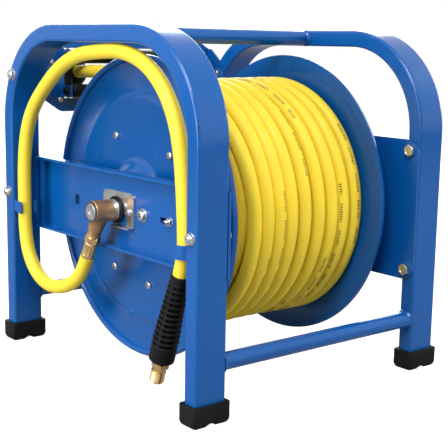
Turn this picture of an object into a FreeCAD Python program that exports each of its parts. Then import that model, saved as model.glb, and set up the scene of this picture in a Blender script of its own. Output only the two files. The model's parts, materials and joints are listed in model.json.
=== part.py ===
import FreeCAD, Part
import math
import os
import re
from FreeCAD import Placement, Rotation, Vector

# Spring-rewind hose reel standing in a frame of two bent rectangular-tube arches.
# +X runs along the reel's axle, from the swivel side (-X) to the spring side (+X).
# The hose pays out towards +Y through the roller guide, and the feet stand on Z = 0.
# The origin is on the floor, midway between the four feet. All sizes are in millimetres.

SIZES = (
    # frame
    ("frame_height", 410), ("frame_width", 370), ("frame_depth", 412),
    ("tube_narrow", 20), ("tube_broad", 40), ("tube_wall", 1.5), ("tube_corner", 3),
    ("arch_bend", 120), ("bar_dia", 19), ("low_bar_level", 63),
    ("foot_tall", 24.2), ("foot_skirt", 4.2), ("foot_floor", 4), ("foot_corner", 3),
    # plates that carry the axle
    ("axle_level", 198), ("plate_thick", 3), ("member_half", 46), ("lip_reach", 10),
    ("lip_end", 178), ("side_plate_half", 85), ("side_plate_corner", 18),
    ("leg_bolt_offset", 196), ("side_bolt_rise", 72), ("side_bolt_offset", 194),
    ("bolt_dia", 8), ("bolt_play", 0.4), ("hex_flats", 13), ("head_tall", 5.3),
    # drum
    ("flange_radius", 180), ("flange_plane", 113), ("sheet", 1.5), ("hub_dome", 56),
    ("core_radius", 100), ("core_wall", 2), ("core_lip", 16),
    ("shaft_radius", 12), ("journal_radius", 7.5), ("run_gap", 0.05),
    ("bush_radius", 10), ("screw_circle", 93.5), ("ratchet_radius", 42),
    ("spindle_radius", 9.8), ("sleeve_radius", 13), ("collar_radius", 16),
    # hose
    ("hose_dia", 17), ("coil_radius", 151.5), ("coil_near", 110.5), ("coil_far", 111.2),
    ("outlet_x", 95), ("whip_plane", 176), ("port_plane", 168.5), ("fitting_tilt", 27),
    ("barrel_radius", 12.8), ("ferrule_length", 21.94), ("thread_radius", 8.33),
    ("clip_level", 181), ("clip_tall", 15), ("clip_centre", 172), ("clip_shift", 1.25),
    ("clip_wall", 1.5),
    # spring case
    ("case_radius", 143), ("case_inner", 121.4), ("case_outer", 142),
    ("arbor_radius", 18), ("spring_strip", 1.2), ("spring_turns", 9),
    # pawl
    ("pawl_offset", 53), ("pawl_hub", 8), ("pawl_nose", 16),
    # hose guide
    ("guide_face", 203), ("guide_sheet", 2.5), ("guide_top", 391), ("guide_bottom", 300),
    ("mouth_half", 98), ("mouth_low", 316), ("mouth_high", 382),
    ("ear_offset", 179.3), ("ear_level", 348.3), ("roller_radius", 9),
    ("roller_half", 97), ("roller_line", 188), ("upper_roller_level", 371),
    ("lower_roller_level", 326), ("pin_radius", 3), ("side_roller_radius", 7),
    ("side_roller_x", 90), ("side_roller_y", 209), ("stopper_radius", 22.5),
)

# Angles of the drum's flange screws, from +Y towards +Z.
FLANGE_SCREW_ANGLES = (1, 61, 134, 181, 255, 301)
RATCHET_NOTCHES = 4
# Where the two seals sit on the swivel's spindle, along the axle.
SEAL_PLACES = ("-178.6", "-160.8")

# Route of the inlet hose, from the swivel round the near arch to its bend restrictor.
INLET_ROUTE = (
    (-168.5, 29.96, 139.19), (-168.5, 39.04, 121.37), (-169.5, 57.0, 103.0),
    (-171.5, 84.0, 91.0), (-173.5, 115.0, 87.0), (-175.0, 143.0, 98.0),
    (-176.0, 162.5, 121.0), (-176.0, 170.6, 152.0), (-176.0, 170.2, 192.0),
    (-176.0, 170.6, 235.0), (-176.0, 163.5, 276.0), (-176.0, 146.0, 308.0),
    (-176.0, 113.0, 337.0), (-176.0, 76.0, 361.5), (-176.0, 35.0, 376.5),
    (-176.0, -12.0, 380.5), (-176.0, -58.0, 382.0), (-176.0, -99.0, 371.5),
    (-176.0, -131.0, 350.0), (-176.0, -153.0, 321.0), (-176.0, -165.5, 285.0),
    (-176.0, -170.5, 245.0), (-176.0, -173.6, 206.0), (-176.0, -174.2, 177.5),
    (-176.0, -166.5, 154.5),
)
# Route of the hose's free end, from the top of the winding out through the guide.
DELIVERY_ROUTE = (
    (-70.0, 42.0, 353.2), (-71.0, 130.0, 353.4), (-70.0, 212.0, 351.2), (-70.0, 264.0, 347.8),
)
RESTRICTOR_LENGTH = 104.5
DELIVERY_RESTRICTOR_LENGTH = 60.0

doc = FreeCAD.newDocument("hose_reel")
sheet = doc.addObject("Spreadsheet::Sheet", "sizes")
for row, (alias, number) in enumerate(SIZES, start=1):
    sheet.set(f"A{row}", alias)
    sheet.set(f"B{row}", str(number))
    sheet.setAlias(f"B{row}", alias)
doc.recompute()

ALIAS = re.compile(r"\b(" + "|".join(alias for alias, _ in SIZES) + r")\b")
nodes = []


def formula(text):
    """Point every alias in a formula at the sheet."""
    return ALIAS.sub(r"sizes.\1", str(text))


def size(text):
    """Value of a formula in millimetres or degrees."""
    return float(sheet.evalExpression(formula(text)))


def bind(thing, **formulas):
    for name, text in formulas.items():
        thing.setExpression(name.replace("__", "."), formula(text))


def node(thing, label):
    """Mark a finished sub-part; its label names its file."""
    thing.Label = label
    nodes.append(thing)
    return thing


def at(thing, x=0, y=0, z=0, turn=None):
    """Give an object its place, bound to the sheet."""
    thing.Placement = Placement(Vector(size(x), size(y), size(z)), turn or Rotation())
    bind(thing, Placement__Base__x=x, Placement__Base__y=y, Placement__Base__z=z)
    return thing


# ---- Part primitives -------------------------------------------------------------------

def box(name, low, high):
    """Box between two corners, given as formulas."""
    solid = doc.addObject("Part::Box", name)
    spans = [f"({b}) - ({a})" for a, b in zip(low, high)]
    bind(solid, Length=spans[0], Width=spans[1], Height=spans[2])
    return at(solid, *low)


def rod(name, radius, length, start, toward=(1, 0, 0)):
    """Round bar from a start point along a direction."""
    solid = doc.addObject("Part::Cylinder", name)
    bind(solid, Radius=radius, Height=length)
    return at(solid, *start, turn=Rotation(Vector(0, 0, 1), Vector(*toward)))


def prism(name, flats, length, start, toward=(1, 0, 0)):
    """Hexagonal bar, sized across its flats."""
    solid = doc.addObject("Part::Prism", name)
    solid.Polygon = 6
    bind(solid, Circumradius=f"({flats}) / sqrt(3)", Height=length)
    return at(solid, *start, turn=Rotation(Vector(0, 0, 1), Vector(*toward)))


def join(name, *solids):
    whole = doc.addObject("Part::MultiFuse", name)
    whole.Shapes = list(solids)
    return whole


def cut(name, base, *tools):
    rest = doc.addObject("Part::Cut", name)
    rest.Base = base
    rest.Tool = tools[0] if len(tools) == 1 else join(name + "_tools", *tools)
    return rest


def group(name, *solids):
    """Separate solids that share one node."""
    together = doc.addObject("Part::Compound", name)
    together.Links = list(solids)
    return together


def tube(name, outer, inner, length, start, toward=(1, 0, 0)):
    return cut(name, rod(name + "_outside", outer, length, start, toward),
               rod(name + "_bore", inner, length, start, toward))


def rounded(name, base, radius, chosen):
    """Fillet the edges of a solid whose middle point is chosen."""
    doc.recompute()
    fillet = doc.addObject("Part::Fillet", name)
    fillet.Base = base
    picks = [number for number, edge in enumerate(base.Shape.Edges, start=1)
             if chosen(edge)]
    fillet.Edges = [(number, size(radius), size(radius)) for number in picks]
    return fillet


# ---- PartDesign helpers ----------------------------------------------------------------

def new_body(name, x=0, y=0, z=0):
    return at(doc.addObject("PartDesign::Body", name), x, y, z)


def place_freely(thing, placement):
    """Give an object a place that isn't bound to the sheet, such as one on a hose's route."""
    for axis in "xyz":
        thing.setExpression(f"Placement.Base.{axis}", None)
    thing.Placement = placement
    return thing


def new_sketch(body, name, plane, lift=None):
    sketch = body.newObject("Sketcher::SketchObject", name)
    datum = [item for item in body.Origin.OriginFeatures if item.Role == plane][0]
    sketch.AttachmentSupport = [(datum, "")]
    sketch.MapMode = "FlatFace"
    if lift is not None:
        bind(sketch, AttachmentOffset__Base__z=lift)
    return sketch


def outline(body, name, plane, corners, lift=None):
    """Closed polygon whose corners are bound, one by one, to formulas."""
    import Sketcher
    sketch = new_sketch(body, name, plane, lift)
    places = [Vector(size(u), size(v), 0) for u, v in corners]
    count = len(places)
    for i in range(count):
        sketch.addGeometry(Part.LineSegment(places[i], places[(i + 1) % count]), False)
    for i in range(count):
        sketch.addConstraint(Sketcher.Constraint("Coincident", i, 2, (i + 1) % count, 1))
    for i, (u, v) in enumerate(corners):
        for kind, text in (("DistanceX", u), ("DistanceY", v)):
            index = sketch.addConstraint(
                Sketcher.Constraint(kind, -1, 1, i, 1, size(text)))
            bind(sketch, **{f"Constraints[{index}]": text})
    return sketch


def circles(body, name, plane, holes, lift=None):
    """Circles, each with a bound centre and diameter."""
    import Sketcher
    sketch = new_sketch(body, name, plane, lift)
    for i, (u, v, across) in enumerate(holes):
        ring = Part.Circle(Vector(size(u), size(v), 0), Vector(0, 0, 1), size(across) / 2)
        sketch.addGeometry(ring, False)
        for constraint, text in (
            (Sketcher.Constraint("DistanceX", -1, 1, i, 3, size(u)), u),
            (Sketcher.Constraint("DistanceY", -1, 1, i, 3, size(v)), v),
            (Sketcher.Constraint("Diameter", i, size(across)), across),
        ):
            index = sketch.addConstraint(constraint)
            bind(sketch, **{f"Constraints[{index}]": text})
    return sketch


def feature(body, kind, name, sketch, length, both_ways=True):
    """Pad or Pocket of a sketch, symmetric about it unless told otherwise."""
    step = body.newObject(f"PartDesign::{kind}", name)
    step.Profile = sketch
    step.SideType = "Symmetric" if both_ways else "One side"
    bind(step, Length=length)
    doc.recompute()
    return step


def blend(body, name, radius, chosen):
    """Fillet the body's present edges that the test chooses."""
    doc.recompute()
    tip = body.Tip
    picks = [f"Edge{number}" for number, edge in enumerate(tip.Shape.Edges, start=1)
             if chosen(edge)]
    step = body.newObject("PartDesign::Fillet", name)
    step.Base = (tip, picks)
    bind(step, Radius=radius)
    doc.recompute()
    return step


def revolved(name, profile):
    """Ring turned about the drum's axis from (along, radius) corners."""
    body = new_body(name, 0, 0, "axle_level")
    sketch = outline(body, name + "_profile", "XZ_Plane", profile)
    step = body.newObject("PartDesign::Revolution", name + "_turn")
    step.Profile = sketch
    step.ReferenceAxis = (sketch, ["H_Axis"])
    step.Angle = 360
    return body


def middle(edge):
    return edge.valueAt((edge.FirstParameter + edge.LastParameter) / 2)


def near(a, b, slack=0.01):
    return abs(a - b) < slack


# ---- frame ------------------------------------------------------------------------------

def bent_u(name, x, skin, bottom, width):
    """Solid arch, its faces drawn in by the skin from the outside of the tube."""
    body = new_body(name, x)
    wide = f"(frame_depth / 2 - {skin})"
    slim = f"(frame_depth / 2 - tube_narrow + {skin})"
    high = f"(frame_height - {skin})"
    low = f"(frame_height - tube_narrow + {skin})"
    feature(body, "Pad", name + "_blank", outline(body, name + "_outline", "YZ_Plane", (
        (f"-{wide}", bottom), (f"-{wide}", high), (wide, high), (wide, bottom),
        (slim, bottom), (slim, low), (f"-{slim}", low), (f"-{slim}", bottom))), width)
    for part, level, reach, radius in (
        ("outer", high, wide, f"arch_bend - {skin}"),
        ("inner", low, slim, f"arch_bend - tube_narrow + {skin}"),
    ):
        blend(body, f"{name}_{part}_bend", radius, lambda edge: (
            near(middle(edge).z, size(level)) and near(abs(middle(edge).y), size(reach))
            and near(edge.Length, size(width))))
    return body


def make_arch(label, side, holes):
    """Rectangular tube bent into an arch: two legs and a level top."""
    x = f"{side} * (frame_width - tube_broad) / 2"
    outside = bent_u(label + "_outside", x, "0", "foot_floor", "tube_broad")
    blend(outside, label + "_edges", "tube_corner", lambda edge: (
        near(abs(middle(edge).x), size("tube_broad / 2"))
        and middle(edge).z > size("foot_floor") + 1))
    feature(outside, "Pocket", label + "_holes",
            circles(outside, label + "_drill", "YZ_Plane", holes), "tube_broad + 2")
    inside = bent_u(label + "_inside", x, "tube_wall", "foot_floor - 1",
                    "tube_broad - 2 * tube_wall")
    return node(cut(label, outside, inside), label)


leg_holes = [(f"{s} * leg_bolt_offset", "axle_level", "bolt_dia + bolt_play") for s in (-1, 1)]
side_holes = [(f"{s} * side_bolt_offset", f"axle_level + {r} * side_bolt_rise",
               "bolt_dia + bolt_play") for s in (-1, 1) for r in (-1, 1)]
ear_hole = [("ear_offset", "ear_level", "bolt_dia + bolt_play")]
make_arch("near_arch", -1, leg_holes + ear_hole)
make_arch("far_arch", 1, side_holes + ear_hole)

inner_x = "(frame_width / 2 - tube_broad)"
for label, y, z in (("top_crossbar", "0", "frame_height - tube_narrow / 2"),
                    ("front_crossbar", "-leg_bolt_offset", "low_bar_level"),
                    ("rear_crossbar", "leg_bolt_offset", "low_bar_level")):
    node(tube(label, "bar_dia / 2", "bar_dia / 2 - tube_wall", f"2 * {inner_x}",
              (f"-{inner_x}", y, z)), label)


def make_feet():
    """Rubber caps pushed over the four leg ends, with a notched sole."""
    caps = []
    for sx in (-1, 1):
        for sy in (-1, 1):
            x = f"({sx} * (frame_width - tube_broad) / 2)"
            y = f"({sy} * (frame_depth - tube_narrow) / 2)"
            half_x = "(tube_broad / 2 + foot_skirt)"
            half_y = "(tube_narrow / 2 + foot_skirt)"
            tag = f"foot{len(caps)}"
            blank = box(tag + "_blank", (f"{x} - {half_x}", f"{y} - {half_y}", "0"),
                        (f"{x} + {half_x}", f"{y} + {half_y}", "foot_tall"))
            soft = rounded(tag + "_soft", blank, "foot_corner", lambda edge: (
                near(edge.Length, size("foot_tall"))))
            socket = box(tag + "_socket",
                         (f"{x} - tube_broad / 2", f"{y} - tube_narrow / 2", "foot_floor"),
                         (f"{x} + tube_broad / 2", f"{y} + tube_narrow / 2",
                          "foot_tall + 1"))
            notch = box(tag + "_notch", (f"{x} - foot_skirt", f"{y} - {half_y} - 1", "-1"),
                        (f"{x} + foot_skirt", f"{y} + {half_y} + 1", "foot_floor / 3"))
            caps.append(cut(tag, soft, socket, notch))
    return node(group("feet", *caps), "rubber_feet")


make_feet()


# ---- plates that carry the axle ----------------------------------------------------------

def make_crossmember():
    """Channel across the near legs, with lips turned outwards at top and bottom."""
    out = f"-{inner_x}"
    top = "(axle_level + member_half)"
    low = "(axle_level - member_half)"
    web = box("member_web", (out, "-frame_depth / 2", low),
              (f"{out} + plate_thick", "frame_depth / 2", top))
    upper = box("member_upper_lip", (f"{out} - lip_reach", "-lip_end", f"{top} - plate_thick"),
                (out, "lip_end", top))
    lower = box("member_lower_lip", (f"{out} - lip_reach", "-lip_end", low),
                (out, "lip_end", f"{low} + plate_thick"))
    start = f"{out} - 1"
    through = "plate_thick + 2"
    holes = [rod(f"member_hole{i}", radius, through, (start, y, "axle_level"))
             for i, (radius, y) in enumerate((
                 ("sleeve_radius", "0"), ("bolt_dia / 2 + 0.1", "-pawl_offset"),
                 ("(bolt_dia + bolt_play) / 2", "-leg_bolt_offset"),
                 ("(bolt_dia + bolt_play) / 2", "leg_bolt_offset")))]
    slot = box("member_slot", (start, "-110", "axle_level - 3.2"),
               (f"{start} + {through}", "-86", "axle_level + 3.2"))
    window = box("member_window", (start, "87", "axle_level - 6"),
                 (f"{start} + {through}", "96", "axle_level + 6"))
    member = cut("member", join("member_blank", web, upper, lower), *holes, slot, window)
    return node(member, "swivel_crossmember")


def make_side_plate():
    """Flat plate with round corners across the far legs."""
    body = new_body("side_plate", f"{inner_x} - plate_thick / 2", 0, "axle_level")
    half = "frame_depth / 2"
    tall = "side_plate_half"
    feature(body, "Pad", "side_plate_blank", outline(body, "side_plate_outline", "YZ_Plane", (
        (f"-{half}", f"-{tall}"), (half, f"-{tall}"), (half, tall), (f"-{half}", tall))),
        "plate_thick")
    blend(body, "side_plate_round", "side_plate_corner",
          lambda edge: near(edge.Length, size("plate_thick")))
    holes = [(u, f"({v}) - axle_level", across) for u, v, across in side_holes]
    holes.append(("0", "0", "2 * bush_radius"))
    feature(body, "Pocket", "side_plate_holes",
            circles(body, "side_plate_drill", "YZ_Plane", holes), "plate_thick + 2")
    return node(body, "spring_side_plate")


def make_bolts(prefix, places, inner, outer, way, labels):
    """Hex bolts through a tube along X, and the washered nuts on its outer face."""
    bolts, nuts = [], []
    for i, (y, z) in enumerate(places):
        tag = f"{prefix}{i}"
        shank = f"abs(({outer}) - ({inner})) + 6.5"
        bolts.append(join(tag + "_bolt",
                          prism(tag + "_head", "hex_flats", "head_tall", (inner, y, z),
                                (-way, 0, 0)),
                          rod(tag + "_shank", "bolt_dia / 2", shank, (inner, y, z),
                              (way, 0, 0))))
        nut = prism(tag + "_hex", "hex_flats", "head_tall", (outer, y, z), (way, 0, 0))
        washer = rod(tag + "_washer", "hex_flats / 2 + 1.4", "1.2", (outer, y, z), (way, 0, 0))
        bore = rod(tag + "_thread", "bolt_dia / 2", "head_tall", (outer, y, z), (way, 0, 0))
        nuts.append(cut(tag + "_nut", join(tag + "_nutblank", nut, washer), bore))
    node(group(prefix + "_bolts", *bolts), labels[0])
    node(group(prefix + "_nuts", *nuts), labels[1])


make_crossmember()
make_side_plate()
make_bolts("leg", [("-leg_bolt_offset", "axle_level"), ("leg_bolt_offset", "axle_level")],
           f"-{inner_x} + plate_thick", "-frame_width / 2", -1,
           ("crossmember_bolts", "crossmember_nuts"))
make_bolts("side", [(u, v) for u, v, _ in side_holes],
           f"{inner_x} - plate_thick", "frame_width / 2", 1,
           ("side_plate_bolts", "side_plate_nuts"))

member_face = f"(-{inner_x})"


def make_shaft_bracket():
    """Zinc plate over the near bush, with one arm down beside it and a turned-out lip."""
    body = new_body("bracket", f"{member_face} - 1", 0, "axle_level")
    corners = (("-36", "-17"), ("-20.5", "-17"), ("-20.5", "-4"), ("28.5", "-4"),
               ("28.5", "22"), ("-36", "22"))
    feature(body, "Pad", "bracket_blank",
            outline(body, "bracket_outline", "YZ_Plane", corners), "2")
    blend(body, "bracket_round", "7.5",
          lambda edge: near(edge.Length, 2) and middle(edge).z > 20)
    holes = (("0", "0", "2 * sleeve_radius"), ("-26.5", "0", "4.2"))
    feature(body, "Pocket", "bracket_holes",
            circles(body, "bracket_drill", "YZ_Plane", holes), "4")
    lip = box("bracket_lip", (f"{member_face} - lip_reach", "-36", "axle_level - 19"),
              (member_face, "0", "axle_level - 17"))
    return node(join("bracket_whole", body, lip), "shaft_bracket")


make_shaft_bracket()
node(join("bracket_screw_whole",
          rod("bracket_screw_head", "3.8", "2.4", (f"{member_face} - 4.4", "-26.5", "axle_level")),
          rod("bracket_screw_shank", "2", "2", (f"{member_face} - 2", "-26.5", "axle_level"))),
     "bracket_screw")
node(join("near_bush_whole",
          tube("near_sleeve", "sleeve_radius", "spindle_radius + run_gap", "8",
               (f"{member_face} - 2", "0", "axle_level")),
          tube("near_collar", "collar_radius", "spindle_radius + run_gap", "2.5",
               (f"{member_face} - 4.5", "0", "axle_level"))),
     "near_bush")
node(tube("far_bush", "bush_radius", "journal_radius + run_gap", "7",
          (f"{inner_x} - 5", "0", "axle_level")), "far_bush")


# ---- drum --------------------------------------------------------------------------------

def flange_profile(side, domed):
    """Pressed disc: rolled rim, outer ring, step, flat web and, on one side, a hub dome."""
    rim = [("flange_plane", "0.8 * flange_radius"), ("flange_plane", "flange_radius - 4"),
           ("flange_plane + 5.5", "flange_radius - 4"), ("flange_plane + 5.5", "flange_radius"),
           ("flange_plane - sheet", "flange_radius"),
           ("flange_plane - sheet", "0.8 * flange_radius + 0.5"),
           ("flange_plane + 4 - sheet", "0.74 * flange_radius + 0.5")]
    if domed:
        hub = [("flange_plane + 4 - sheet", "hub_dome + 0.5"),
               ("flange_plane + 14 - sheet", "0.68 * hub_dome + 0.5"),
               ("flange_plane + 14 - sheet", "shaft_radius"),
               ("flange_plane + 14", "shaft_radius"), ("flange_plane + 14", "0.68 * hub_dome"),
               ("flange_plane + 4", "hub_dome")]
    else:
        hub = [("flange_plane + 4 - sheet", "shaft_radius"), ("flange_plane + 4", "shaft_radius")]
    profile = rim + hub + [("flange_plane + 4", "0.74 * flange_radius")]
    return [(f"{side} * ({along})", radius) for along, radius in profile]


def screw_places(side):
    """Centres of the flange screws on the web of a flange."""
    for angle in FLANGE_SCREW_ANGLES:
        yield (f"{side} * (flange_plane + 4)", f"screw_circle * cos({angle} deg)",
               f"axle_level + screw_circle * sin({angle} deg)")


def make_flange(label, side, domed):
    disc = revolved(label + "_disc", flange_profile(side, domed))
    holes = [rod(f"{label}_hole{i}", "3.1", "sheet + 2", (f"({x}) + {side}", y, z), (-side, 0, 0))
             for i, (x, y, z) in enumerate(screw_places(side))]
    return node(cut(label, disc, *holes), label)


make_flange("near_flange", -1, True)
make_flange("far_flange", 1, False)

web_in = "(flange_plane + 4 - sheet)"


def make_core():
    """Rolled sleeve the hose winds on, with a lip inside each end for the flange screws."""
    sleeve = tube("core_sleeve", "core_radius", "core_radius - core_wall", f"2 * {web_in}",
                  (f"-{web_in}", "0", "axle_level"))
    pieces = [sleeve]
    for i, start in enumerate((f"-{web_in}", f"{web_in} - core_wall")):
        pieces.append(tube(f"core_lip{i}", "core_radius - core_wall", "core_radius - core_lip",
                           "core_wall", (start, "0", "axle_level")))
    holes = [rod(f"core_hole{side + 1}_{i}", "3", "core_wall + 2",
                 (f"({x}) - {side} * (sheet - 1)", y, z), (-side, 0, 0))
             for side in (-1, 1) for i, (x, y, z) in enumerate(screw_places(side))]
    port = rod("core_port", "7.2", "2 * core_wall",
               ("outlet_x", "0", "axle_level + core_radius - 3"), (0, 0, 1))
    return node(cut("core", join("core_blank", *pieces), *holes, port), "drum_core")


def make_flange_screws():
    screws = []
    for side in (-1, 1):
        for x, y, z in screw_places(side):
            tag = f"flange_screw{len(screws)}"
            head = rod(tag + "_head", "5", "2.2", (x, y, z), (side, 0, 0))
            shank = rod(tag + "_shank", "3", "sheet + core_wall", (x, y, z), (-side, 0, 0))
            screws.append(join(tag, head, shank))
    return node(group("flange_screw_set", *screws), "flange_screws")


def make_ratchet():
    """Wheel with wide notches that the pawl drops into."""
    blank = tube("ratchet_blank", "ratchet_radius", "shaft_radius", "6",
                 ("-134", "0", "axle_level"))
    cuts = []
    for i in range(RATCHET_NOTCHES):
        angle = 180 + 360 * i / RATCHET_NOTCHES
        notch = box(f"ratchet_notch{i}", ("-135", "0", "axle_level"),
                    ("-127", "12", "axle_level + 36"))
        bearing = math.radians(angle)
        corner = Vector(-135, 33 * math.cos(bearing) + 18 * math.sin(bearing),
                        size("axle_level") + 33 * math.sin(bearing) - 18 * math.cos(bearing))
        cuts.append(place_freely(notch, Placement(corner, Rotation(Vector(1, 0, 0), angle))))
    return node(cut("ratchet", blank, *cuts), "ratchet_wheel")


make_core()
make_flange_screws()
make_ratchet()

node(join("shaft", rod("shaft_middle", "shaft_radius", "253", ("-134", "0", "axle_level")),
          rod("shaft_journal", "journal_radius", "31", ("119", "0", "axle_level"))),
     "drum_shaft")


def make_spindle():
    """Hollow zinc spindle that turns inside the bush and the brass swivel."""
    blank = rod("spindle_blank", "spindle_radius", "48.8", ("-182.8", "0", "axle_level"))
    bore = rod("spindle_bore", "4", "42", ("-176", "0", "axle_level"))
    grooves = [tube(f"spindle_groove{i}", "spindle_radius + 1", "spindle_radius - 1.7", "2.2",
                    (x, "0", "axle_level")) for i, x in enumerate(SEAL_PLACES)]
    return node(cut("spindle", blank, bore, *grooves), "swivel_spindle")


make_spindle()
node(group("seal_pair", *[tube(f"seal{i}", "spindle_radius", "spindle_radius - 1.7", "2.2",
                               (x, "0", "axle_level")) for i, x in enumerate(SEAL_PLACES)]),
     "swivel_seals")
node(tube("circlip", "spindle_radius + 1.6", "spindle_radius", "1.1",
          ("-182.2", "0", "axle_level")), "spindle_circlip")
node(tube("end_clip", "journal_radius + 3", "journal_radius", "1.2",
          (f"{inner_x} + 3", "0", "axle_level")), "shaft_end_clip")
node(rod("outlet", "6", "core_radius - shaft_radius - core_wall",
         ("outlet_x", "0", "axle_level + shaft_radius"), (0, 0, 1)), "outlet_pipe")
node(tube("arbor", "arbor_radius", "journal_radius", "15.5", ("123.5", "0", "axle_level")),
     "spring_arbor")
node(tube("coil", "coil_radius", "core_radius + 0.3", "coil_near + coil_far",
          ("-coil_near", "0", "axle_level")), "hose_coil")


# ---- spring case ---------------------------------------------------------------------------

def make_spring_case():
    case = cut("case",
               rod("case_blank", "case_radius", "case_outer - case_inner - sheet",
                   ("case_inner + sheet", "0", "axle_level")),
               rod("case_room", "case_radius - sheet", "case_outer - case_inner - 2 * sheet",
                   ("case_inner + sheet", "0", "axle_level")),
               rod("case_axle_hole", "bush_radius", "4", ("case_outer - 3", "0", "axle_level")))
    node(case, "spring_case")
    node(tube("case_lid", "case_radius", "arbor_radius + 6", "sheet",
              ("case_inner", "0", "axle_level")), "spring_case_lid")


def make_mainspring():
    """Flat strip wound in an even spiral from the arbor to the case wall."""
    first = size("arbor_radius") + 1.0
    last = size("case_radius - sheet - spring_strip")
    turns = size("spring_turns")
    steps = int(turns) * 24

    def edge(extra):
        points = []
        for i in range(steps + 1):
            share = i / steps
            radius = first + (last - first) * share + extra
            angle = 2 * math.pi * turns * share
            points.append(Vector(0, radius * math.cos(angle), radius * math.sin(angle)))
        spline = Part.BSplineCurve()
        spline.interpolate(points)
        return spline.toShape(), points

    inner, inner_points = edge(0.0)
    outer, outer_points = edge(size("spring_strip"))
    ends = [Part.makeLine(inner_points[k], outer_points[k]) for k in (0, -1)]
    strip = Part.Face(Part.Wire([inner, ends[1], outer, ends[0]]))
    spring = doc.addObject("Part::Feature", "mainspring")
    spring.Shape = strip.extrude(Vector(13, 0, 0))
    spring.Placement = Placement(Vector(125, 0, size("axle_level")), Rotation())
    return node(spring, "mainspring")


make_spring_case()
make_mainspring()


# ---- pawl ------------------------------------------------------------------------------------

def make_pawl():
    """Lever that hangs clear of the ratchet; its nose lies 60 degrees below level."""
    hub = rod("pawl_hub_blank", "pawl_hub", "5", ("-134", "-pawl_offset", "axle_level"))
    arms = []
    for name, low, high in (("nose", "0", "pawl_nose"), ("tail", "-pawl_nose", "0")):
        arm = box("pawl_" + name, ("-134", low, "-3"), ("-129", high, "3"))
        pivot = Placement(Vector(0, -size("pawl_offset"), size("axle_level")),
                          Rotation(Vector(1, 0, 0), -60))
        arms.append(place_freely(arm, pivot * Placement(Vector(-134, size(low), -3),
                                                        Rotation())))
    bore = rod("pawl_bore", "bolt_dia / 2 + run_gap", "7", ("-135", "-pawl_offset", "axle_level"))
    return node(cut("pawl_whole", join("pawl_blank", hub, *arms), bore), "pawl")


make_pawl()
spring_wire = doc.addObject("Part::Torus", "pawl_spring_ring")
bind(spring_wire, Radius1="bolt_dia / 2 + 0.8", Radius2="0.8")
at(spring_wire, "-137", "-pawl_offset", "axle_level", Rotation(Vector(0, 0, 1), Vector(1, 0, 0)))
second_turn = doc.addObject("Part::Torus", "pawl_spring_turn")
bind(second_turn, Radius1="bolt_dia / 2 + 0.8", Radius2="0.8")
at(second_turn, "-135.2", "-pawl_offset", "axle_level",
   Rotation(Vector(0, 0, 1), Vector(1, 0, 0)))
node(group("pawl_spring_coils", spring_wire, second_turn), "pawl_spring")
node(join("pawl_pivot",
          rod("pawl_washer", "8", "1.2", (f"{member_face} - 1.2", "-pawl_offset", "axle_level")),
          prism("pawl_hex", "11", "4.5", (f"{member_face} - 5.7", "-pawl_offset", "axle_level")),
          rod("pawl_shank", "bolt_dia / 2", "17", (member_face, "-pawl_offset", "axle_level"))),
     "pawl_bolt")
node(join("stud",
          rod("stud_shank", "2.5", "18", (f"{member_face} - 9", "-104.7", "axle_level")),
          prism("stud_nut", "8", "4", (f"{member_face} - 4", "-104.7", "axle_level")),
          prism("stud_back_nut", "8", "4", (f"{member_face} + plate_thick", "-104.7",
                                            "axle_level"))),
     "spring_stud")


# ---- swivel and inlet hose --------------------------------------------------------------------

tilt = math.radians(size("fitting_tilt"))
port_way = (0, math.sin(tilt), -math.cos(tilt))


def along_port(distance):
    """Point on the tilted axis of the swivel's hose port."""
    return ("-port_plane", f"{distance} * sin(fitting_tilt * 1 deg)",
            f"axle_level - {distance} * cos(fitting_tilt * 1 deg)")


def make_swivel():
    """Barrel round the spindle, with a shouldered port for the hose."""
    barrel = rod("swivel_barrel", "barrel_radius", "25", ("-181", "0", "axle_level"))
    shoulder = rod("swivel_shoulder", "9.9", "28", along_port(0), port_way)
    neck = rod("swivel_neck", "8", "35", along_port(0), port_way)
    bore = rod("swivel_bore", "spindle_radius + run_gap", "27", ("-182", "0", "axle_level"))
    way = rod("swivel_way", "4", "36", along_port(0), port_way)
    return node(cut("swivel", join("swivel_blank", barrel, shoulder, neck), bore, way),
                "swivel_body")


def sweep(label, route):
    """Round hose along straight runs joined by tangent arcs."""
    points = [Vector(*place) for place in route]
    share = 0.45
    edges, here, radii = [], points[0], []
    for before, corner, after in zip(points, points[1:], points[2:]):
        back, ahead = (before - corner), (after - corner)
        turn = math.pi - back.getAngle(ahead)
        reach = share * min(back.Length, ahead.Length)
        radii.append(reach / math.tan(turn / 2))
        start = corner + back.normalize() * reach
        stop = corner + ahead.normalize() * reach
        inward = (back + ahead).normalize()
        drop = math.hypot(reach, radii[-1]) - radii[-1]
        edges.append(Part.LineSegment(here, start).toShape())
        edges.append(Part.Arc(start, corner + inward * drop, stop).toShape())
        here = stop
    edges.append(Part.LineSegment(here, points[-1]).toShape())
    path = Part.Wire(edges)
    radius = size("hose_dia / 2")
    section = Part.Wire([Part.makeCircle(radius, points[0], points[1] - points[0])])
    hose = doc.addObject("Part::Feature", label)
    hose.Shape = path.makePipeShell([section], True, False)
    expected = math.pi * radius ** 2 * path.Length
    print(f"{label}: length {path.Length:.1f}, bend radii "
          + " ".join(f"{r:.0f}" for r in radii)
          + f", volume off by {hose.Shape.Volume / expected - 1:+.4f}")
    return node(hose, label)


make_swivel()
node(cut("swivel_hex", prism("swivel_hex_blank", "16", "9", along_port(35), port_way),
         rod("swivel_hex_bore", "5", "9", along_port(35), port_way)), "swivel_nut")
node(cut("ferrule", rod("ferrule_blank", "8", "ferrule_length", along_port(44), port_way),
         rod("ferrule_bore", "4", "ferrule_length", along_port(44), port_way)), "hose_ferrule")
sweep("inlet_hose", INLET_ROUTE)


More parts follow.
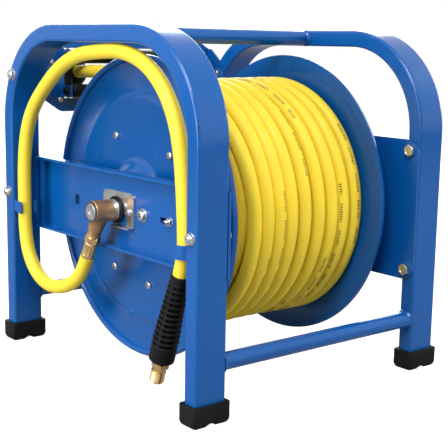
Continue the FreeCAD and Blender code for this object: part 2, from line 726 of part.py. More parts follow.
def turned(label, profile, start, toward):
    """Piece turned about an axis that starts at a point and runs along a direction."""
    body = revolved(label + "_body", profile)
    turn = Rotation(Vector(1, 0, 0), Vector(*toward))
    return node(place_freely(body, Placement(Vector(*start), turn)), label)


def restrictor_profile(length, ribs):
    """Ribbed rubber sleeve, slim where the hose enters and thick at the collar."""
    slim, thick, collar = 10.0, 14.2, 21.0
    pitch = (length - collar - 8) / ribs
    profile = [("0", "0"), ("0", f"{slim}"), ("8", f"{slim}")]
    for i in range(ribs):
        radius = slim + 0.4 + (thick - slim) * (i + 1) / ribs
        start = 8 + i * pitch
        profile += [(f"{start + 0.15 * pitch:.3f}", f"{radius:.3f}"),
                    (f"{start + 0.7 * pitch:.3f}", f"{radius:.3f}"),
                    (f"{start + 0.75 * pitch:.3f}", f"{radius - 1.2:.3f}"),
                    (f"{start + pitch:.3f}", f"{radius - 1.2:.3f}")]
    return profile + [(f"{length - collar + 0.5}", f"{thick}"), (f"{length}", f"{thick}"),
                      (f"{length}", "0")]


def fitting_profile():
    """Brass stem, nut collar and straight thread blank."""
    return [("0", "0"), ("0", "8.2"), ("2", "8.2"), ("2", "10.2"), ("9", "10.2"), ("10", "8.2"),
            ("11.5", "thread_radius - 1"), ("14", "thread_radius - 1"), ("14", "thread_radius"),
            ("26", "thread_radius"), ("28", "thread_radius - 1.6"), ("28", "0")]


def hose_end(prefix, route, length, ribs):
    """Bend restrictor and male fitting in line with the end of a route."""
    end = Vector(*route[-1])
    way = (end - Vector(*route[-2])).normalize()
    turned(prefix + "_restrictor", restrictor_profile(length, ribs), end, way)
    turned(prefix + "_fitting", fitting_profile(), end + way * length, way)


hose_end("inlet", INLET_ROUTE, RESTRICTOR_LENGTH, 12)


def make_clips():
    """C-shaped clips on the legs' inner faces that hold the inlet hose."""
    clips = []
    for side in (-1, 1):
        tag = f"clip{side + 1}"
        line = f"({side} * clip_centre - clip_shift)"
        centre = ("-whip_plane", line, "clip_level - clip_tall / 2")
        ring = tube(tag + "_ring", "hose_dia / 2 + 1.9 + clip_wall", "hose_dia / 2 + 1.9",
                    "clip_tall", centre, (0, 0, 1))
        pad_in = f"{line} + {side} * (hose_dia / 2 + 2)"
        pad_out = f"{side} * (frame_depth / 2 - tube_narrow)"
        low_y, high_y = (pad_in, pad_out) if side > 0 else (pad_out, pad_in)
        pad = box(tag + "_pad", ("-whip_plane - 7", low_y, "clip_level - clip_tall / 2"),
                  ("-whip_plane + 7", high_y, "clip_level + clip_tall / 2"))
        mouth_in = f"{line} - {side} * hose_dia"
        mouth_out = f"{line} - {side} * 5"
        low_m, high_m = (mouth_in, mouth_out) if side > 0 else (mouth_out, mouth_in)
        mouth = box(tag + "_mouth", ("-whip_plane - 12", low_m, "clip_level - clip_tall"),
                    ("-whip_plane + 12", high_m, "clip_level + clip_tall"))
        clips.append(cut(tag, join(tag + "_blank", ring, pad), mouth))
    return node(group("clip_pair", *clips), "hose_clips")


make_clips()


# ---- hose guide -------------------------------------------------------------------------------

def make_guide_plate():
    """Sheet bracket across the back: a window for the rollers and an ear at each arch."""
    back = "(guide_face + guide_sheet)"
    reach = inner_x
    body = new_body("guide_web", 0, f"guide_face + guide_sheet / 2")
    corners = [("-103", "guide_bottom - 1.5"), ("103", "guide_bottom - 1.5"),
               ("130", "guide_bottom + 16"),
               (reach, "338"), (reach, "guide_top - 8"), ("131", "guide_top"),
               ("-131", "guide_top"), (f"-{reach}", "guide_top - 8"), (f"-{reach}", "338"),
               ("-130", "guide_bottom + 16")]
    feature(body, "Pad", "guide_web_blank",
            outline(body, "guide_web_outline", "XZ_Plane", corners), "guide_sheet")
    blend(body, "guide_web_round", "14", lambda edge: (
        near(edge.Length, size("guide_sheet")) and middle(edge).z < size("guide_bottom + 20")))
    window = (("-mouth_half", "mouth_low"), ("mouth_half", "mouth_low"),
              ("mouth_half", "mouth_high"), ("-mouth_half", "mouth_high"))
    feature(body, "Pocket", "guide_window",
            outline(body, "guide_window_outline", "XZ_Plane", window), "guide_sheet + 2")
    pieces = [body]
    holes = []
    for side in (-1, 1):
        tag = f"guide{side + 1}"
        ear = new_body(tag + "_ear", f"{side} * ({reach} - guide_sheet / 2)")
        feature(ear, "Pad", tag + "_ear_blank", outline(ear, tag + "_ear_outline", "YZ_Plane", (
            (back, "338"), (back, "guide_top - 8"), ("196", "guide_top - 8"),
            ("168.5", "362"), ("168.5", "338"))), "guide_sheet")
        blend(ear, tag + "_ear_round", "8", lambda edge: (
            near(edge.Length, size("guide_sheet")) and middle(edge).y < 170))
        pieces.append(ear)
        for level in ("upper_roller_level", "lower_roller_level"):
            inner, outer = sorted((f"{side} * (roller_half + 2)",
                                   f"{side} * (roller_half + 2 + guide_sheet)"), key=size)
            pieces.append(box(f"{tag}_{level}_lug",
                              (inner, "roller_line - 8", f"{level} - 8"),
                              (outer, "guide_face", f"{level} + 8")))
            holes.append(rod(f"{tag}_{level}_hole", "pin_radius", "guide_sheet + 2",
                             (f"{inner} - 1", "roller_line", level)))
        for i, level in enumerate(("mouth_low - 3.5", "mouth_high + 1")):
            tab_x = f"{side} * side_roller_x"
            pieces.append(box(f"{tag}_tab{i}", (f"{tab_x} - 7", back, level),
                              (f"{tab_x} + 7", "side_roller_y + 6.5", f"{level} + 2.5")))
            holes.append(rod(f"{tag}_tab_hole{i}", "pin_radius", "5",
                             (tab_x, "side_roller_y", f"{level} - 1"), (0, 0, 1)))
        holes.append(rod(tag + "_ear_hole", "(bolt_dia + bolt_play) / 2", "6",
                         (f"{side} * {reach} - 3", "ear_offset", "ear_level")))
    return node(cut("guide", join("guide_blank", *pieces), *holes), "guide_plate")


def make_ear_bolts():
    """Bolts through the arches' back bends that hold the guide."""
    bolts, nuts = [], []
    for side in (-1, 1):
        tag = f"ear{side + 1}"
        inner = f"{side} * ({inner_x} - guide_sheet)"
        outer = f"{side} * frame_width / 2"
        place = ("ear_offset", "ear_level")
        bolts.append(join(tag + "_bolt",
                          prism(tag + "_head", "11", "4.5", (inner, *place), (-side, 0, 0)),
                          rod(tag + "_shank", "bolt_dia / 2", "tube_broad + 9",
                              (inner, *place), (side, 0, 0))))
        nuts.append(cut(tag + "_nut",
                        join(tag + "_nut_blank",
                             prism(tag + "_hex", "11", "5", (outer, *place), (side, 0, 0)),
                             rod(tag + "_washer", "7.4", "1.2", (outer, *place), (side, 0, 0))),
                        rod(tag + "_thread", "bolt_dia / 2", "5", (outer, *place), (side, 0, 0))))
    node(group("ear_bolts", *bolts), "guide_bolts")
    node(group("ear_nuts", *nuts), "guide_nuts")


def make_rollers():
    """Two level rollers before the window and two upright ones behind it."""
    pins, caps = [], []
    for label, level in (("upper_roller", "upper_roller_level"),
                         ("lower_roller", "lower_roller_level")):
        node(tube(label, "roller_radius", "pin_radius + run_gap", "2 * roller_half",
                  ("-roller_half", "roller_line", level)), label)
        pins.append(rod(label + "_pin", "pin_radius", "2 * roller_half + 16.8",
                        ("-roller_half - 8.4", "roller_line", level)))
        for side in (-1, 1):
            start = f"{side} * (roller_half + 2 + guide_sheet)"
            place = (start, "roller_line", level)
            cap = cut(f"{label}_cap{side + 1}",
                      rod(f"{label}_cap_blank{side + 1}", "roller_radius - 2.5", "5", place,
                          (side, 0, 0)),
                      rod(f"{label}_cap_bore{side + 1}", "pin_radius", "4", place,
                          (side, 0, 0)))
            caps.append(cap)
    for label, side in (("near_side_roller", -1), ("far_side_roller", 1)):
        x = f"{side} * side_roller_x"
        node(tube(label, "side_roller_radius", "pin_radius + run_gap", "mouth_high - mouth_low - 4",
                  (x, "side_roller_y", "mouth_low + 2"), (0, 0, 1)), label)
        pins.append(rod(label + "_pin", "pin_radius", "mouth_high - mouth_low + 10",
                        (x, "side_roller_y", "mouth_low - 5"), (0, 0, 1)))
    node(group("pins", *pins), "roller_pins")
    node(group("caps", *caps), "roller_pin_caps")


make_guide_plate()
make_ear_bolts()
make_rollers()
node(group("guide_screw_set", *[
    rod(f"guide_screw{i}", "3.6", "2.6", (f"{side * x}", "guide_face", z), (0, -1, 0))
    for i, (side, x, z) in enumerate((s, x, z) for s in (-1, 1)
                                     for x, z in ((102, 384.5), (116.5, 363), (104, 314)))]),
     "guide_screws")
sweep("delivery_hose", DELIVERY_ROUTE)


def make_stopper():
    """Rubber ball clamped on the hose just outside the rollers."""
    ball = doc.addObject("Part::Sphere", "stopper_ball")
    bind(ball, Radius="stopper_radius")
    at(ball, "-70", "234", "349.8")
    before, after = (Vector(*place) for place in DELIVERY_ROUTE[-2:])
    way = (after - before).normalize()
    start = Vector(-70, 234, 349.8) - way * 30
    bore = rod("stopper_bore", "hose_dia / 2 + 0.7", "60", tuple(start), tuple(way))
    return node(cut("stopper", ball, bore), "ball_stopper")


make_stopper()
hose_end("delivery", DELIVERY_ROUTE, DELIVERY_RESTRICTOR_LENGTH, 4)

doc.recompute()
for thing in doc.Objects:
    if {"Invalid", "Error"} & set(thing.State):
        raise RuntimeError(f"{thing.Name} did not compute: {thing.State}")
for thing in nodes:
    if thing.Shape.isNull() or not thing.Shape.isValid() or not thing.Shape.Solids:
        raise RuntimeError(f"{thing.Label} has no valid solid")
os.makedirs("parts", exist_ok=True)
for thing in nodes:
    thing.Shape.exportStep(f"parts/{thing.Label}.step")
print(len(nodes), "sub-parts written")
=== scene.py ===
import json
import math

import bmesh
import bpy
from mathutils import Matrix, Vector


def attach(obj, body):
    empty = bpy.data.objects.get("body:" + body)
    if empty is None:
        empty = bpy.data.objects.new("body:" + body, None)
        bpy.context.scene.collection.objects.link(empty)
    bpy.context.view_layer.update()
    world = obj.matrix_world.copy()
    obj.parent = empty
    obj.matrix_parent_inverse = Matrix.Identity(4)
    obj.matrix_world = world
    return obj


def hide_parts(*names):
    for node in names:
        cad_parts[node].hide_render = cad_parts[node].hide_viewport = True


# Looks of a spring-rewind hose reel, in the frame of the CAD model:
# +X along the axle from the swivel to the spring case, +Y the way the hose pays out, +Z up.
# Shapes are given in millimetres and become pieces in metres.

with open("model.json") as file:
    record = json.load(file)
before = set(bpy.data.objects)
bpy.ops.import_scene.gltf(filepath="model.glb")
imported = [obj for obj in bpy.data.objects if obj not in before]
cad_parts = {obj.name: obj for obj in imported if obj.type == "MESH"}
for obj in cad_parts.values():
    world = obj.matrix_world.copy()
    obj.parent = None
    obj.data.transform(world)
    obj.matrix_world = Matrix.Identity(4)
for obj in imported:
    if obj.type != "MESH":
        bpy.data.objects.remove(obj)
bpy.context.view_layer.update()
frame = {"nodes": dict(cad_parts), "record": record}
nodes = frame["nodes"]
record = frame["record"]

SLOT_OF = {part["node"]: part["material_slot"] for part in record["subparts"]}
BODY_OF = {name: body for body, names in record["behaviour"]["bodies"].items()
           for name in names}

MM = 0.001
AXLE_LEVEL = 198
X_AXIS = Vector((1, 0, 0))
Z_AXIS = Vector((0, 0, 1))
FULL_TURN = 2 * math.pi
HOSE_DIA = 17
MEMBER_FACE = -145
LEG_FACE = 185


# ---- camera ------------------------------------------------------------------------------

def make_camera():
    """Camera given as a place, two angles and a roll."""
    azimuth, elevation, roll = map(math.radians, (-38.99, 10.08, 1.03))
    back = Vector((math.sin(azimuth) * math.cos(elevation),
                   -math.cos(azimuth) * math.cos(elevation), math.sin(elevation)))
    right = Vector((math.cos(azimuth), math.sin(azimuth), 0))
    up = back.cross(right)
    across = right * math.cos(roll) + up * math.sin(roll)
    tall = up * math.cos(roll) - right * math.sin(roll)
    camera = bpy.data.objects.new("camera", bpy.data.cameras.new("camera"))
    bpy.context.scene.collection.objects.link(camera)
    camera.matrix_world = Matrix((across, tall, back)).transposed().to_4x4()
    camera.location = (-0.7858, -0.9897, 0.3911)
    camera.data.lens = 81.49
    camera.data.sensor_width = 36
    bpy.context.scene.camera = camera


make_camera()


# ---- materials ---------------------------------------------------------------------------

class Finish:
    """A material and short ways to build its nodes."""

    def __init__(self, name):
        self.material = bpy.data.materials.new(name)
        self.material.use_nodes = True
        self.tree = self.material.node_tree
        self.shader = self.tree.nodes["Principled BSDF"]
        self.place = self.add("ShaderNodeTexCoord").outputs["Object"]

    def add(self, kind, **settings):
        made = self.tree.nodes.new(kind)
        for key, value in settings.items():
            setattr(made, key, value)
        return made

    def link(self, out, into):
        self.tree.links.new(out, into)

    def noise(self, scale, detail=4, roughness=0.5):
        """Noise value over the object's own space."""
        made = self.add("ShaderNodeTexNoise")
        made.inputs["Scale"].default_value = scale
        made.inputs["Detail"].default_value = detail
        made.inputs["Roughness"].default_value = roughness
        self.link(self.place, made.inputs["Vector"])
        return made.outputs["Fac"]

    def ramp(self, value, *stops):
        """Colour by value, from (position, colour) stops."""
        made = self.add("ShaderNodeValToRGB")
        elements = made.color_ramp.elements
        while len(elements) < len(stops):
            elements.new(0.5)
        for element, (position, color) in zip(elements, stops):
            element.position = position
            element.color = (*color, 1)
        self.link(value, made.inputs["Fac"])
        return made.outputs["Color"]

    def spread(self, value, low, high, start=0.3, stop=0.7):
        """Value mapped onto a range."""
        made = self.add("ShaderNodeMapRange")
        for name, number in (("From Min", start), ("From Max", stop),
                             ("To Min", low), ("To Max", high)):
            made.inputs[name].default_value = number
        self.link(value, made.inputs["Value"])
        return made.outputs["Result"]

    def math(self, operation, a, b):
        made = self.add("ShaderNodeMath", operation=operation)
        for socket, value in zip(made.inputs, (a, b)):
            if isinstance(value, (int, float)):
                socket.default_value = value
            else:
                self.link(value, socket)
        return made.outputs["Value"]

    def edges(self, radius):
        """1 along the edges of a shape and 0 on its faces, broken up by noise."""
        soft = self.add("ShaderNodeBevel", samples=6)
        soft.inputs["Radius"].default_value = radius
        geometry = self.add("ShaderNodeNewGeometry")
        dot = self.add("ShaderNodeVectorMath", operation="DOT_PRODUCT")
        self.link(soft.outputs["Normal"], dot.inputs[0])
        self.link(geometry.outputs["Normal"], dot.inputs[1])
        edge = self.spread(dot.outputs["Value"], 1, 0, 0.9, 0.995)
        return self.math("MULTIPLY", edge, self.spread(self.noise(45, 5), 0, 1, 0.42, 0.62))

    def mix(self, factor, a, b):
        """Colour a turning into colour b."""
        made = self.add("ShaderNodeMix", data_type="RGBA")
        self.link(factor, made.inputs["Factor"])
        self.link(a, made.inputs["A"])
        made.inputs["B"].default_value = (*b, 1)
        return made.outputs["Result"]

    def bump(self, height, strength, distance):
        made = self.add("ShaderNodeBump")
        made.inputs["Strength"].default_value = strength
        made.inputs["Distance"].default_value = distance
        self.link(height, made.inputs["Height"])
        self.link(made.outputs["Normal"], self.shader.inputs["Normal"])

    def set(self, **values):
        for name, value in values.items():
            self.shader.inputs[name.replace("_", " ")].default_value = value

    def color(self, output):
        self.link(output, self.shader.inputs["Base Color"])

    def rough(self, output):
        self.link(output, self.shader.inputs["Roughness"])


def shade(color, factor):
    return tuple(channel * factor for channel in color)


def coated_paint(name, color, rubbed_and_highlit):
    """Glossy powder coat: faint orange peel, slow tone changes and lighter edges, partly rubbed
    wear and partly a painted highlight.
    """
    made = Finish(name)
    tone = made.ramp(made.noise(5, 3), (0.3, shade(color, 0.92)), (0.7, shade(color, 1.06)))
    # Edges are mixed toward a lighter blue: partly rubbed paint, partly a painted highlight along
    # every edge.
    made.color(made.mix(made.edges(0.0012), tone, rubbed_and_highlit))
    made.rough(made.spread(made.noise(24, 8, roughness=0.7), 0.2, 0.32, 0.45, 0.75))
    made.bump(made.noise(420, 2), 0.05, 0.0004)
    made.set(Coat_Weight=0.1, Coat_Roughness=0.08, Specular_IOR_Level=0.35)
    return made.material


def metal(name, color, low, high, dark=0.86):
    """Plated or turned metal with a fine grain."""
    made = Finish(name)
    made.color(made.ramp(made.noise(60, 4), (0.3, shade(color, dark)), (0.7, color)))
    made.rough(made.spread(made.noise(130, 4), low, high))
    made.bump(made.noise(700, 3), 0.06, 0.0002)
    made.set(Metallic=1.0)
    return made.material


def black(name, color, low, high, grain_scale, strength):
    """Black rubber or moulded plastic with a fine grain, faint dust and greyed edges."""
    made = Finish(name)
    dust = made.noise(40, 6, roughness=0.7)
    tone = made.ramp(dust, (0.45, color), (0.85, shade(color, 1.9)))
    made.color(made.mix(made.edges(0.001), tone, shade(color, 3.2)))
    made.rough(made.spread(made.noise(120, 4), low, high))
    made.bump(made.noise(grain_scale, 3), strength, 0.0004)
    made.set(Specular_IOR_Level=0.14)
    return made.material


def hose_rubber(name, color):
    """Yellow hose cover with a worn line of printed dashes. U runs along it in metres and
    V round it, with the print at 0.5."""
    made = Finish(name)
    tone = made.noise(14, 4)
    cover = made.ramp(tone, (0.3, shade(color, 0.94)), (0.7, shade(color, 1.03)))
    where = made.add("ShaderNodeSeparateXYZ")
    made.link(made.add("ShaderNodeTexCoord").outputs["UV"], where.inputs["Vector"])
    along, around = where.outputs["X"], where.outputs["Y"]
    group = made.math("LESS_THAN", made.math("MODULO", along, 0.41), 0.165)
    word = made.math("LESS_THAN", made.math("MODULO", along, 0.031), 0.022)
    mark = made.math("LESS_THAN", made.math("MODULO", along, 0.0029), 0.0016)
    offset = made.math("ABSOLUTE", made.math("SUBTRACT", around, 0.5), 0)
    band = made.math("LESS_THAN", offset, 0.032)
    ink = made.math("MULTIPLY", made.math("MULTIPLY", group, word),
                    made.math("MULTIPLY", mark, band))
    worn = made.spread(made.noise(300, 3), 0.5, 0.95, 0.35, 0.55)
    made.color(made.mix(made.math("MULTIPLY", ink, worn), cover, (0.045, 0.04, 0.03)))
    made.rough(made.spread(made.noise(60, 5), 0.42, 0.56))
    made.bump(made.noise(380, 3), 0.07, 0.0004)
    made.set(Specular_IOR_Level=0.35)
    return made.material


# The last colour is the lighter edge blue: partly rubbed paint, partly a painted highlight.
paint = coated_paint("blue_paint", (0.0014, 0.081, 0.312), (0.015, 0.13, 0.40))
rubber = black("black_rubber", (0.0045, 0.0045, 0.005), 0.52, 0.68, 520, 0.2)
plastic = black("black_plastic", (0.005, 0.005, 0.006), 0.3, 0.42, 700, 0.1)
zinc = metal("zinc_plate", (0.64, 0.65, 0.67), 0.24, 0.36)
brass = metal("turned_brass", (0.80, 0.54, 0.24), 0.26, 0.38)
bronze = metal("cast_bronze", (0.50, 0.30, 0.145), 0.46, 0.56, dark=0.9)
steel = metal("spring_steel", (0.16, 0.16, 0.17), 0.3, 0.45)
yellow = hose_rubber("yellow_hose", (0.84, 0.63, 0.04))
BY_SLOT = {"blue": paint, "rubber": rubber, "black_plastic": plastic, "brass": brass,
           "zinc": zinc, "spring_steel": steel, "hose": yellow}


# ---- building helpers --------------------------------------------------------------------

def frame_along(start, toward, side=None):
    """Matrix that puts local +X along a direction from a start point."""
    ahead = Vector(toward).normalized()
    hint = Vector(side) if side else (Z_AXIS if abs(ahead.z) < 0.9 else X_AXIS)
    across = (hint - ahead * hint.dot(ahead)).normalized()
    return Matrix.Translation(Vector(start)) @ Matrix(
        (ahead, across, ahead.cross(across))).transposed().to_4x4()


def value(number, angle):
    return number(angle) if callable(number) else number


def softened(points, reach, steps=4):
    """Profile with its inner corners rounded."""
    out = [points[0]]
    for before, corner, after in zip(points, points[1:], points[2:]):
        a, c, b = (Vector(p) for p in (before, corner, after))
        back, ahead = a - c, b - c
        length = min(reach, back.length * 0.45, ahead.length * 0.45)
        start, stop = c + back.normalized() * length, c + ahead.normalized() * length
        for k in range(steps + 1):
            share = k / steps
            out.append(tuple(start.lerp(c, share).lerp(c.lerp(stop, share), share)))
    return out + [points[-1]]


def cross_outline(reach, half_width):
    """Radius of a cross-shaped recess at each angle."""
    def radius(angle):
        fold = abs((angle + math.pi / 4) % (math.pi / 2) - math.pi / 4)
        if math.tan(fold) * reach < half_width:
            return reach / math.cos(fold)
        return half_width / math.sin(fold)
    return radius


def show(name, mesh, body):
    """New object that rides on a body."""
    piece = bpy.data.objects.new(name, mesh)
    bpy.context.scene.collection.objects.link(piece)
    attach(piece, body)
    return piece


class Shape:
    """Closed solids in millimetres that become one piece."""

    def __init__(self):
        self.mesh = bmesh.new()

    def skin(self, rings, capped=()):
        """Skin over rings of points, each ring closed on itself, with faces on some rings."""
        rows = [[self.mesh.verts.new(point) for point in ring] for ring in rings]
        count = len(rows[0])
        for low, high in zip(rows, rows[1:]):
            for k in range(count):
                after = (k + 1) % count
                self.mesh.faces.new((low[k], low[after], high[after], high[k]))
        for end in capped:
            self.mesh.faces.new(rows[end])

    def turn(self, profile, start, toward, steps=48, side=None):
        """Solid turned about an axis, from (along, radius) pairs; either number may be a
        function of the angle. One that doesn't end on the axis is closed on itself."""
        place = frame_along(start, toward, side)
        angles = [FULL_TURN * k / steps for k in range(steps)]
        if profile[0][1] and profile[-1][1]:
            profile = (*profile, profile[0])
        self.skin([[place @ Vector((value(along, a), value(radius, a) * math.cos(a),
                                    value(radius, a) * math.sin(a))) for a in angles]
                   for along, radius in profile])

    def washer(self, radius, thick, start, toward):
        edge = thick * 0.25
        self.turn(((0, 0), (0, radius - edge), (edge, radius), (thick - edge, radius),
                   (thick, radius - edge), (thick, 0)), start, toward)

    def hexagon(self, flats, tall, start, toward, both_ends=False):
        """Bolt head or nut with chamfered corners and a dished top."""
        sixth = FULL_TURN / 6
        inner = flats / 2 * 0.95

        def side(angle):
            return flats / 2 / math.cos(angle % sixth - sixth / 2)

        def slope(angle):
            return (side(angle) - inner) * 0.6

        base = [(0, inner), (slope, side)] if both_ends else [(0, side)]
        self.turn([(0, 0)] + base + [(lambda a: tall - slope(a), side), (tall, inner),
                                     (tall, inner * 0.72), (tall - 0.35, inner * 0.66),
                                     (tall - 0.35, 0)], start, toward, 72)

    def thread(self, radius, length, pitch, start, toward, steps=40, depth=0.5, bore=0):
        """Threaded rod with a chamfered end, and a bore if it has one."""
        rows = round(length / pitch * 6)
        profile = [(0, 0)]
        for i in range(rows + 1):
            along = length * i / rows
            crest = radius - max(0, along - length + pitch) * 0.7

            def ridge(angle, turns=along / pitch, crest=crest):
                return crest - depth * abs((turns - angle / FULL_TURN) % 1 * 2 - 1)

            profile.append((along, ridge))
        end = [(length, bore), (1, bore), (1, 0)] if bore else [(length, 0)]
        self.turn(profile + end, start, toward, steps)

    def pan_head(self, radius, tall, start, toward):
        """Domed screw head with a cross recess."""
        mouth = cross_outline(radius * 0.54, radius * 0.15)
        floor = cross_outline(radius * 0.42, radius * 0.11)
        self.turn(((0, 0), (0, radius * 0.97), (tall * 0.12, radius), (tall * 0.4, radius),
                   (tall * 0.72, radius * 0.93), (tall * 0.92, radius * 0.8),
                   (tall, radius * 0.6), (tall, mouth), (tall * 0.4, floor),
                   (tall * 0.36, 0)), start, toward, 64)

    def piece(self, name, material, body, slot, sharp=35):
        bmesh.ops.remove_doubles(self.mesh, verts=self.mesh.verts, dist=0.001)
        bmesh.ops.recalc_face_normals(self.mesh, faces=self.mesh.faces)
        bmesh.ops.scale(self.mesh, vec=(MM, MM, MM), verts=self.mesh.verts)
        for face in self.mesh.faces:
            face.smooth = True
        mesh = bpy.data.meshes.new(name)
        self.mesh.to_mesh(mesh)
        self.mesh.free()
        mesh.materials.append(material)
        mesh.set_sharp_from_angle(angle=math.radians(sharp))
        return show(name, mesh, body)

    def stand_for(self, node, material=None, sharp=35, slot=None):
        """Piece that takes a CAD node's place and body."""
        slot = slot or SLOT_OF[node]
        piece = self.piece(node + "_detail", material or BY_SLOT[slot], BODY_OF[node], slot,
                           sharp)
        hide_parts(node)
        return piece


# ---- hoses -------------------------------------------------------------------------------

INLET_ROUTE = (
    (-168.5, 29.96, 139.19), (-168.5, 39.04, 121.37), (-169.5, 57.0, 103.0),
    (-171.5, 84.0, 91.0), (-173.5, 115.0, 87.0), (-175.0, 143.0, 98.0),
    (-176.0, 162.5, 121.0), (-176.0, 170.6, 152.0), (-176.0, 170.2, 192.0),
    (-176.0, 170.6, 235.0), (-176.0, 163.5, 276.0), (-176.0, 146.0, 308.0),
    (-176.0, 113.0, 337.0), (-176.0, 76.0, 361.5), (-176.0, 35.0, 376.5),
    (-176.0, -12.0, 380.5), (-176.0, -58.0, 382.0), (-176.0, -99.0, 371.5),
    (-176.0, -131.0, 350.0), (-176.0, -153.0, 321.0), (-176.0, -165.5, 285.0),
    (-176.0, -170.5, 245.0), (-176.0, -173.6, 206.0), (-176.0, -174.2, 177.5),
    (-176.0, -166.5, 154.5),
)
DELIVERY_ROUTE = (
    (-70.0, 14.0, 341.6), (-70.0, 42.0, 346.0), (-70.5, 86.0, 352.2), (-71.0, 130.0, 353.4),
    (-70.0, 212.0, 351.2), (-70.0, 264.0, 347.8),
)

# The winding: two hidden layers, then the outer one, whose turns lie unevenly.
TURN_POINTS = 16
OUTLET_X = 95
NEAR_STOP, FAR_STOP = -101.5, 102.2
LAYER_RADII = (109.0, 126.3, 143.4)
OUTER_TURNS = (102.9, 82.0, 62.6, 41.6, 19.0, -2.0, -20.0, -38.0, -56.0)
EXIT_X = -70.0
CLIMB = 120
TOP, CLIMB_START = 90, 61
TO_FIRST_FRONT = 180 - CLIMB + CLIMB_START


def outer_place(turned):
    """Place along the axle of the outer layer, this many degrees after its start."""
    turns = (turned - TO_FIRST_FRONT) / 360
    if turns <= 0:
        return OUTER_TURNS[0]
    whole = int(turns)
    if whole >= len(OUTER_TURNS) - 1:
        share = min((turns - len(OUTER_TURNS) + 1) * 4, 1)
        return OUTER_TURNS[-1] + (EXIT_X - OUTER_TURNS[-1]) * share
    share = turns - whole
    return OUTER_TURNS[whole] + (OUTER_TURNS[whole + 1] - OUTER_TURNS[whole]) * share


def coil_route():
    """Control points of the winding, layer by layer, from the drum's outlet to the top."""
    step = 360 / TURN_POINTS
    outward = 1 / math.cos(math.radians(step / 2))
    route = []

    def add(x, radius, degrees):
        angle = math.radians(degrees)
        route.append((x, radius * outward * math.cos(angle),
                      AXLE_LEVEL + radius * outward * math.sin(angle)))

    first, second, outer = LAYER_RADII
    inner_span = 360 * 11 + TOP - CLIMB_START
    middle_span = 360 * 12 - CLIMB
    outer_span = TO_FIRST_FRONT + 360 * (len(OUTER_TURNS) - 1) + TOP
    spans = (
        (inner_span, lambda t: OUTLET_X + (NEAR_STOP - OUTLET_X) * t / inner_span, first, second),
        (middle_span, lambda t: NEAR_STOP + (FAR_STOP - NEAR_STOP) * t / middle_span, second,
         outer),
        (outer_span, outer_place, outer, outer),
    )
    degrees = TOP
    for span, place, radius, above in spans:
        count = round(span / step)
        for k in range(count + 1):
            sway = 0.5 * math.sin(k * 0.83) if radius == outer else 0
            add(place(k * span / count), radius + sway, degrees - k * span / count)
        degrees -= span
        if above == radius:
            break
        climb_points = round(CLIMB / step)
        stop = place(span)
        for k in range(1, climb_points):
            share = k / climb_points
            add(stop, radius + (above - radius) * share, degrees - CLIMB * share)
        degrees -= CLIMB
    return route


def centreline(route, resolution):
    """Points in metres on one smooth spline through given control points."""
    curve = bpy.data.curves.new("route", "CURVE")
    curve.dimensions = "3D"
    curve.resolution_u = resolution
    spline = curve.splines.new("NURBS")
    spline.points.add(len(route) - 1)
    for point, place in zip(spline.points, route):
        point.co = (*(Vector(place) * MM), 1)
    spline.order_u = 3
    spline.use_endpoint_u = True
    probe = bpy.data.objects.new("route", curve)
    mesh = bpy.data.meshes.new_from_object(probe)
    line = [vertex.co.copy() for vertex in mesh.vertices]
    bpy.data.objects.remove(probe)
    bpy.data.meshes.remove(mesh)
    bpy.data.curves.remove(curve)
    return line


def length_of(line):
    return sum((b - a).length for a, b in zip(line, line[1:]))


def hose_tube(name, line, body, printed_side, steps=24, twist=None):
    """Round hose along a centreline, with its print turned towards printed_side(point), or
    away from it by twist(distance) radians."""
    radius = HOSE_DIA / 2 * MM
    verts, faces, travelled = [], [], [0.0]
    last = len(line) - 1
    for i, point in enumerate(line):
        ahead = (line[min(i + 1, last)] - line[max(i - 1, 0)]).normalized()
        place = frame_along(point, ahead, printed_side(point))
        if i:
            travelled.append(travelled[-1] + (point - line[i - 1]).length)
        lean = twist(travelled[-1]) if twist else 0
        for k in range(steps):
            angle = FULL_TURN * (k / steps - 0.5) + lean
            verts.append(place @ Vector((0, radius * math.cos(angle), radius * math.sin(angle))))
    uvs = []
    for i in range(last):
        for k in range(steps):
            after = (k + 1) % steps
            faces.append((i * steps + k, i * steps + after, (i + 1) * steps + after,
                          (i + 1) * steps + k))
            u, v = (travelled[i], travelled[i + 1]), (k / steps, (k + 1) / steps)
            uvs += [u[0], v[0], u[0], v[1], u[1], v[1], u[1], v[0]]
    for ring in (range(steps), range(last * steps, (last + 1) * steps)):
        faces.append(tuple(ring) if ring.start else tuple(reversed(ring)))
        uvs += [0.0, 0.0] * steps
    mesh = bpy.data.meshes.new(name)
    mesh.from_pydata(verts, [], faces)
    mesh.uv_layers.new(name="UVMap").data.foreach_set("uv", uvs)
    mesh.materials.append(yellow)
    mesh.update()
    mesh.set_sharp_from_angle(angle=math.radians(50))
    return show(name, mesh, body)


def roll_of_print(distance):
    """The wound hose rolls slowly about its own line, so its print wanders."""
    return 0.7 * math.sin(0.9 * distance) + 0.35 * math.sin(2.6 * distance + 1)


def outward_from_axle(point):
    return Vector((0, point.y, point.z - AXLE_LEVEL * MM))


inlet_line = centreline(INLET_ROUTE, 8)
coil_line = centreline(coil_route(), 6)
delivery_line = centreline(DELIVERY_ROUTE, 12)
inlet_hose = hose_tube("inlet_hose_tube", inlet_line, "frame", lambda p: Vector((1, 0.2, 0)))
wound_hose = hose_tube("wound_hose_tube", coil_line, "drum", outward_from_axle, 16, roll_of_print)
delivery_hose = hose_tube("delivery_hose_tube", delivery_line, "frame",
                          lambda p: Vector((-0.3, 0, 1)))
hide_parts("inlet_hose")
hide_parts("hose_coil")
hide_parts("delivery_hose")
print("hose lengths", *(round(length_of(line), 3)
                        for line in (inlet_line, coil_line, delivery_line)))


# ---- hose ends ---------------------------------------------------------------------------

def route_end(route):
    """End of a route and the direction it ends in."""
    end = Vector(route[-1])
    return end, (end - Vector(route[-2])).normalized()


